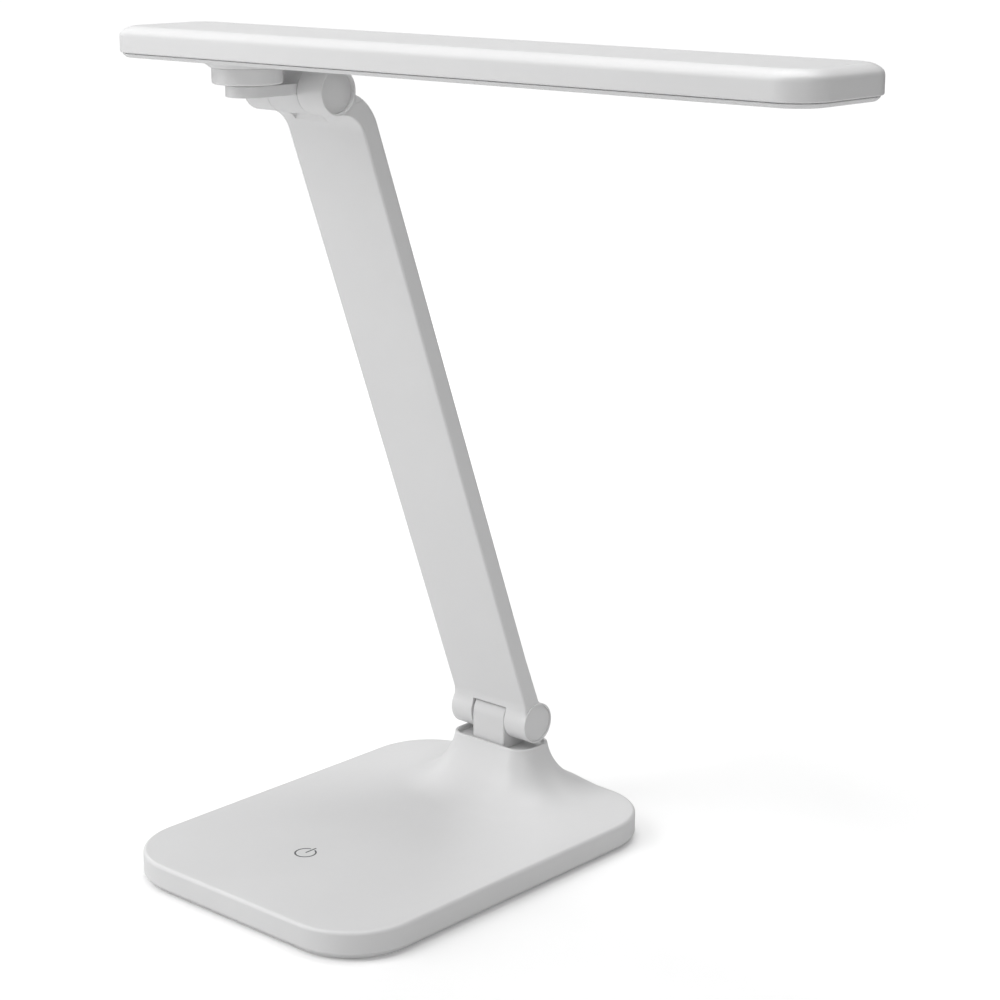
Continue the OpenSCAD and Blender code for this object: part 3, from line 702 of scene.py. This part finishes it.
def arm():
    o, r = arm_outline()
    full = side_body("arm_shell", o, HALF, r, 6)
    cap = side_body("arm_bend_cap", o, HALF, r, 6)
    barrels = [lathe("c", [(0, -END), (BAR_R - 0.42, -END), (BAR_R - 0.26, -END + 0.035), (BAR_R - 0.12, -END + 0.12), (BAR_R - 0.03, -END + 0.27), (BAR_R, -END + 0.45),
                           (BAR_R, END - 0.45), (BAR_R - 0.03, END - 0.27), (BAR_R - 0.12, END - 0.12), (BAR_R - 0.26, END - 0.035), (BAR_R - 0.42, END), (0, END)], (0, cy, cz), "x", 160)
               for cy, cz in ((LY, LZ), (UY, UZ))]
    boolean(full, barrels, "UNION")

    def over_bend(g):
        """Space of the cap over the bend, pulled back by g from its seat."""
        pts = [(CUT_Y + g, CUT_Z + g), (CUT_Y + 40, CUT_Z + g + 40 * CUT_T), (CUT_Y + 40, CUT_Z + 60), (CUT_Y + g, CUT_Z + 60)]
        return loft("c", [[(x, y, z) for y, z in pts] for x in (-30, 30)])

    lo, up = LUG_HALF + GAP, KNK + GAP_U
    lxi, uxi = lo + 2.2, up + 2.2
    cutters = [over_bend(0),
               xcyl("c", 9.45, -lo, lo, LY, LZ), box("c", (-lo, LY - 9, LZ - 12), (lo, LY + 9, LZ)),
               xcyl("c", 9.6, -up, up, UY, UZ), box("c", (-up, UY - 12, UZ - 3), (up, UY, UZ + 11)),
               box("c", (-13.2, UY - 2, STRIP0 - 12), (3.7, UY + 10.65, STRIP0 - 1.37)),
               xcyl("c", 3.05, -30, 30, LY, LZ, 48), xcyl("c", 3.05, -30, 30, UY, UZ, 48)]
    for sx in (-1, 1):
        for cy, cz, xi, seat_x in ((LY, LZ, lxi, END - 2.2), (UY, UZ, uxi, END - 3.45)):
            a, b = sorted((sx * xi, sx * 30))
            cutters.append(xcyl("c", 7.0, a, b, cy, cz))
            cutters.append(lathe("c", [(0, seat_x), (7.8, seat_x), (7.8, END - 0.3), (7.84, END - 0.15), (7.93, END - 0.05), (8.06, END), (8.06, 30), (0, 30)], (0, cy, cz), "x", 128, sx))
    ch = arm_place(box("c", (-18.5, -AF + 1.8, COV0), (18.5, 20, COV1)))
    cutters.append(ch)
    boolean(full, cutters)
    boolean(cap, [over_bend(0.08)], "INTERSECT")
    boolean(cap, [xcyl("c", BAR_R + 0.08, -30, 30, UY, UZ), xcyl("c", 9.6, -up, up, UY, UZ)])
    dress(finish_mesh(full), "white_shell", "arm", "arm_front_shell")
    dress(finish_mesh(cap), "white_shell", "arm", "arm_top_cap")
    # rear cover with its screw seats
    hw, hl = 18.35, (COV1 - COV0) / 2 - 0.15
    mid = (COV0 + COV1) / 2
    loops = []
    for d, y in ((0.2, AB - 1.6), (0.0, AB - 1.45), (0.0, AB - 0.35), (0.1, AB - 0.12), (0.35, AB)):
        loops.append([(x, y, mid + z) for x, z in rrect(hw - d, hl - d, 1.4 - d, 0, 0, 8, 3, 6)])
    cov = loft("arm_back_cover", loops)
    boolean(cov, [lathe("c", [(0, 0), (2.5, 0), (2.5, 3), (0, 3)], (0, AB - 1.0, b), "y", 40) for b in BOSS])
    arm_place(cov)
    dress(finish_mesh(cov), "white_shell", "arm", "arm_rear_cover")
    R = Matrix.Translation((0, LY * MM, LZ * MM)) @ Matrix.Rotation(LEAN, 4, "X")
    s = [screw("s", 2.2, 0.8, 0.85, 4.3, R @ T(0, AB - 0.15, b) @ Matrix.Rotation(math.radians(90), 4, "X") @ spin(i)) for i, b in enumerate(BOSS)]
    dress(joined("arm_screw_set", s), "steel", "arm", "arm_cover_screws")


arm()


def end_caps(name, cy, cz, depth, dome, node):
    obs = []
    for sx in (-1, 1):
        prof = [(0, -1.5), (6.0, -1.5), (6.0, -2.9), (6.9, -2.9), (6.9, -1.5), (7.72, -1.5), (7.75, -1.4), (7.75, -0.22), (7.68, -0.07), (7.5, 0.0)]
        prof += [(7.5 * (1 - i / 9), dome * (1 - (1 - i / 9) ** 2)) for i in range(1, 10)]
        obs.append(lathe("s", prof, (sx * (END - depth), cy, cz), "x", 112, sx))
    dress(joined(name, obs), "white_shell", "arm", node)


end_caps("lower_cap_pair", LY, LZ, 0.5, 0.15, "lower_end_caps")
end_caps("upper_cap_pair", UY, UZ, 1.75, 0.7, "upper_end_caps")


# ---------------------------------------------------------------- swivel bracket
def bracket():
    knuckle = lathe("bracket_arm", [(0, -KNK - 0.17), (BAR_R - 0.1, -KNK - 0.17), (BAR_R - 0.03, -KNK - 0.14), (BAR_R, -KNK - 0.07),
                                    (BAR_R, KNK - 0.35), (BAR_R - 0.1, KNK - 0.1), (BAR_R - 0.35, KNK), (0, KNK)], (0, UY, UZ), "x", 112)
    cy = (UY + 2 + SWY - KNK) / 2
    tongue = plate("c", KNK, (UY + 2 - (SWY - KNK)) / 2, KNK - 0.05, [(0.45, BR0), (0.13, BR0 + 0.1), (0.0, BR0 + 0.45), (0.0, BR1 - 0.3), (0.09, BR1 - 0.09), (0.3, BR1)], 0, cy, 18, 2, 6)
    boolean(knuckle, [tongue], "UNION")
    boolean(knuckle, [xcyl("c", 3.0, -12, 12, UY, UZ, 48), zcyl("c", 4.0, BR0 - 1, BR1 + 1, 0, SWY), zcyl("c", 5.6, BR0 - 1, BR0 + 1.9, 0, SWY)])
    dress(finish_mesh(knuckle), "hinge_lug", "bracket", "swivel_bracket")


bracket()

disc = lathe("turn_disc", [(4.0, 0), (11.7, 0.0), (12.1, 0.12), (12.48, 0.42), (12.6, 0.75), (12.6, 5.55), (12.52, 5.72), (12.3, 5.8), (4.0, 5.8)], (0, SWY, DISC0), "z", 128)


def ring_from(ob):
    """Turns the flat ends of a turned ring into a bore."""
    bm = bmesh.new()
    bm.from_mesh(ob.data)
    ends = [f for f in bm.faces if len(f.verts) > 20]
    bmesh.ops.delete(bm, geom=ends, context="FACES_ONLY")
    rims = [e for e in bm.edges if len(e.link_faces) == 1]
    bmesh.ops.bridge_loops(bm, edges=rims)
    bmesh.ops.recalc_face_normals(bm, faces=bm.faces)
    bm.to_mesh(ob.data)
    bm.free()
    return ob


dress(finish_mesh(ring_from(disc)), "white_shell", "head", "swivel_disc")
collar = lathe("turn_collar", [(4.0, 0.03), (13.0, 0.03), (13.3, 0.12), (14.75, 1.25), (15.05, 1.55), (15.15, 1.85), (15.15, 2.36), (4.0, 2.36)], (0, SWY, DISC1), "z", 128)
dress(finish_mesh(ring_from(collar)), "white_shell", "head", "swivel_collar")


# ---------------------------------------------------------------- light bar
def head():
    a, b, r = HL / 2, HW / 2, 12.0
    CW, CH = 4.8, 2.9
    zc = HTOP - CH
    edge = []
    for i in range(0, 13):
        t = math.radians(7.5 * i)
        edge.append((CW * (0.6 * (1 - math.cos(t)) + 0.4 * i / 12), zc + CH * (0.6 * math.sin(t) + 0.4 * i / 12)))
    low = corner((0, zc - 0.9), (0, zc - 0.05), edge[2], 5)
    top = corner(edge[11], edge[12], (CW + 1.3, HTOP), 4)
    prof = [(4.0, HTOP - 1.6), (4.0, BEZ1 + 1.25), (1.8, BEZ1 + 1.25), (1.8, BEZ1 + 0.05), (1.75, BEZ1), (0.58, BEZ1), (0.3, BEZ1 + 0.07), (0.1, BEZ1 + 0.24), (0.0, BEZ1 + 0.55)]
    prof += low + edge[3:11] + top
    ob = plate("bar_shell", a, b, r, prof, HCX, SWY, 20, 24, 6)
    dress(finish_mesh(ob), "white_shell", "head", "head_housing")
    # lower rim with the diffuser's window
    prof = [(2.7, COL1), (2.3, COL1 + 0.05), (2.0, COL1 + 0.22), (1.2, BEZ1 - 0.75), (1.02, BEZ1 - 0.4), (1.08, BEZ1 - 0.26), (1.3, BEZ1 - 0.22), (2.1, BEZ1 - 0.22), (2.1, BEZ1 + 1.1)]
    rim = plate("bar_rim", a, b, r, prof, HCX, SWY, 20, 24, 6)
    wx0, wx1 = HCX - HL / 2 + 72, HCX + HL / 2 - 12
    wcx, wa = (wx0 + wx1) / 2, (wx1 - wx0) / 2
    window = plate("c", wa, b - 3.5, 3.0, [(0, COL1 - 2), (0, BEZ1 + 4)], wcx, SWY, 8, 2, 2)
    hs = [(HCX - HL / 2 + 7.5, SWY), (HCX - HL / 2 + 64, SWY + HW / 2 - 6.5), (HCX - HL / 2 + 64, SWY - HW / 2 + 6.5), (HCX + HL / 2 - 6.5, SWY)]
    boolean(rim, [window] + [zcyl("c", 2.4, COL1 - 1, COL1 + 0.9, x, y, 40) for x, y in hs])
    dress(finish_mesh(rim), "white_shell", "head", "head_bezel")
    dif = plate("light_panel", wa - 0.12, b - 3.62, 2.9, [(0.5, COL1 + 0.3), (0.15, COL1 + 0.36), (0.0, COL1 + 0.6), (0.0, COL1 + 2.2)], wcx, SWY, 8, 30, 6)
    dress(finish_mesh(dif), "diffuser", "head", "diffuser")
    s = [screw("s", 2.1, 0.75, 0.8, 4.4, T(x, y, COL1 + 0.1) @ spin(i)) for i, (x, y) in enumerate(hs)]
    dress(joined("bar_screw_set", s), "steel", "head", "head_screws")


head()


# ---------------------------------------------------------------- floor, light, camera
def studio():
    fl = bpy.data.meshes.new("floor")
    S = 14.0
    fl.from_pydata([(-S, -S, 0), (S, -S, 0), (S, S, 0), (-S, S, 0)], [], [(0, 1, 2, 3)])
    floor = bpy.data.objects.new("floor", fl)
    scene.collection.objects.link(floor)
    m, nt, p = principled("floor_white")
    co = coords(nt)
    n = noise(nt, co, 8.0, 3.0)
    path_ = nt.nodes.new("ShaderNodeLightPath").outputs["Is Camera Ray"]
    shade = nt.nodes.new("ShaderNodeMix")
    shade.data_type = "RGBA"
    shade.inputs[6].default_value = (0.72, 0.72, 0.72, 1)
    nt.links.new(tint(nt, n, (0.93, 0.93, 0.93), (0.95, 0.95, 0.95)), shade.inputs[7])
    nt.links.new(path_, shade.inputs[0])
    nt.links.new(shade.outputs[2], p.inputs["Base Color"])
    p.inputs["Roughness"].default_value = 0.9
    p.inputs["Specular IOR Level"].default_value = 0.1
    # the floor round the lamp stays plain white in the distance
    ln = nt.nodes.new("ShaderNodeVectorMath")
    ln.operation = "LENGTH"
    nt.links.new(co, ln.inputs[0])
    seen = nt.nodes.new("ShaderNodeMath")
    seen.operation = "MULTIPLY_ADD"
    nt.links.new(ramp(nt, ln.outputs["Value"], 0.10, 0.95, 0.2, 1.0), seen.inputs[0])
    nt.links.new(path_, seen.inputs[1])
    seen.inputs[2].default_value = 0.05
    nt.links.new(seen.outputs[0], p.inputs["Emission Strength"])
    p.inputs["Emission Color"].default_value = (1, 1, 1, 1)
    fl.materials.append(m)

    w = bpy.data.worlds.new("studio")
    scene.world = w
    w.use_nodes = True
    nt = w.node_tree
    bg = nt.nodes["Background"]
    bg.inputs["Color"].default_value = (1, 1, 1, 1)
    lp = nt.nodes.new("ShaderNodeLightPath")
    r = nt.nodes.new("ShaderNodeMapRange")
    r.inputs["To Min"].default_value = 0.05
    r.inputs["To Max"].default_value = 1.1
    nt.links.new(lp.outputs["Is Camera Ray"], r.inputs["Value"])
    nt.links.new(r.outputs[0], bg.inputs["Strength"])

    def area(name, loc, target, size, power, size_y=None):
        l = bpy.data.lights.new(name, "AREA")
        l.energy = power
        l.size = size
        if size_y:
            l.shape = "RECTANGLE"
            l.size_y = size_y
        ob = bpy.data.objects.new(name, l)
        ob.location = loc
        ob.rotation_mode = "QUATERNION"
        ob.rotation_quaternion = (Vector(target) - Vector(loc)).to_track_quat("-Z", "Y")
        scene.collection.objects.link(ob)
        return ob

    area("key", (-0.55, -0.95, 1.15), (0.0, 0.0, 0.15), 0.9, 8.8)
    area("top", (0.0, 0.15, 1.5), (0.0, 0.0, 0.0), 1.2, 15.8)
    area("left", (-1.3, -0.1, 0.7), (0.0, 0.0, 0.1), 1.0, 3.4)
    area("low_left", (-0.75, -0.80, 0.26), (0.0, 0.0, 0.16), 0.5, 2.1)
    area("right", (1.15, -0.75, 0.6), (0.0, 0.0, 0.15), 0.9, 4.1)

    yaw, pitch = math.radians(41.99), math.radians(14.83)
    d = Vector((-math.sin(yaw) * math.cos(pitch), math.cos(yaw) * math.cos(pitch), -math.sin(pitch)))
    cd = bpy.data.cameras.new("camera")
    cam = bpy.data.objects.new("camera", cd)
    cam.location = (0.62977, -0.63544, 0.38517)
    cam.rotation_mode = "QUATERNION"
    cam.rotation_quaternion = d.to_track_quat("-Z", "Y")
    cd.sensor_width = 36.0
    cd.lens = 36.0 * 2361.76 / 1000.0
    cd.clip_start, cd.clip_end = 0.01, 60.0
    scene.collection.objects.link(cam)
    scene.camera = cam


studio()
scene.view_settings.view_transform = "Standard"
scene.view_settings.look = "None"
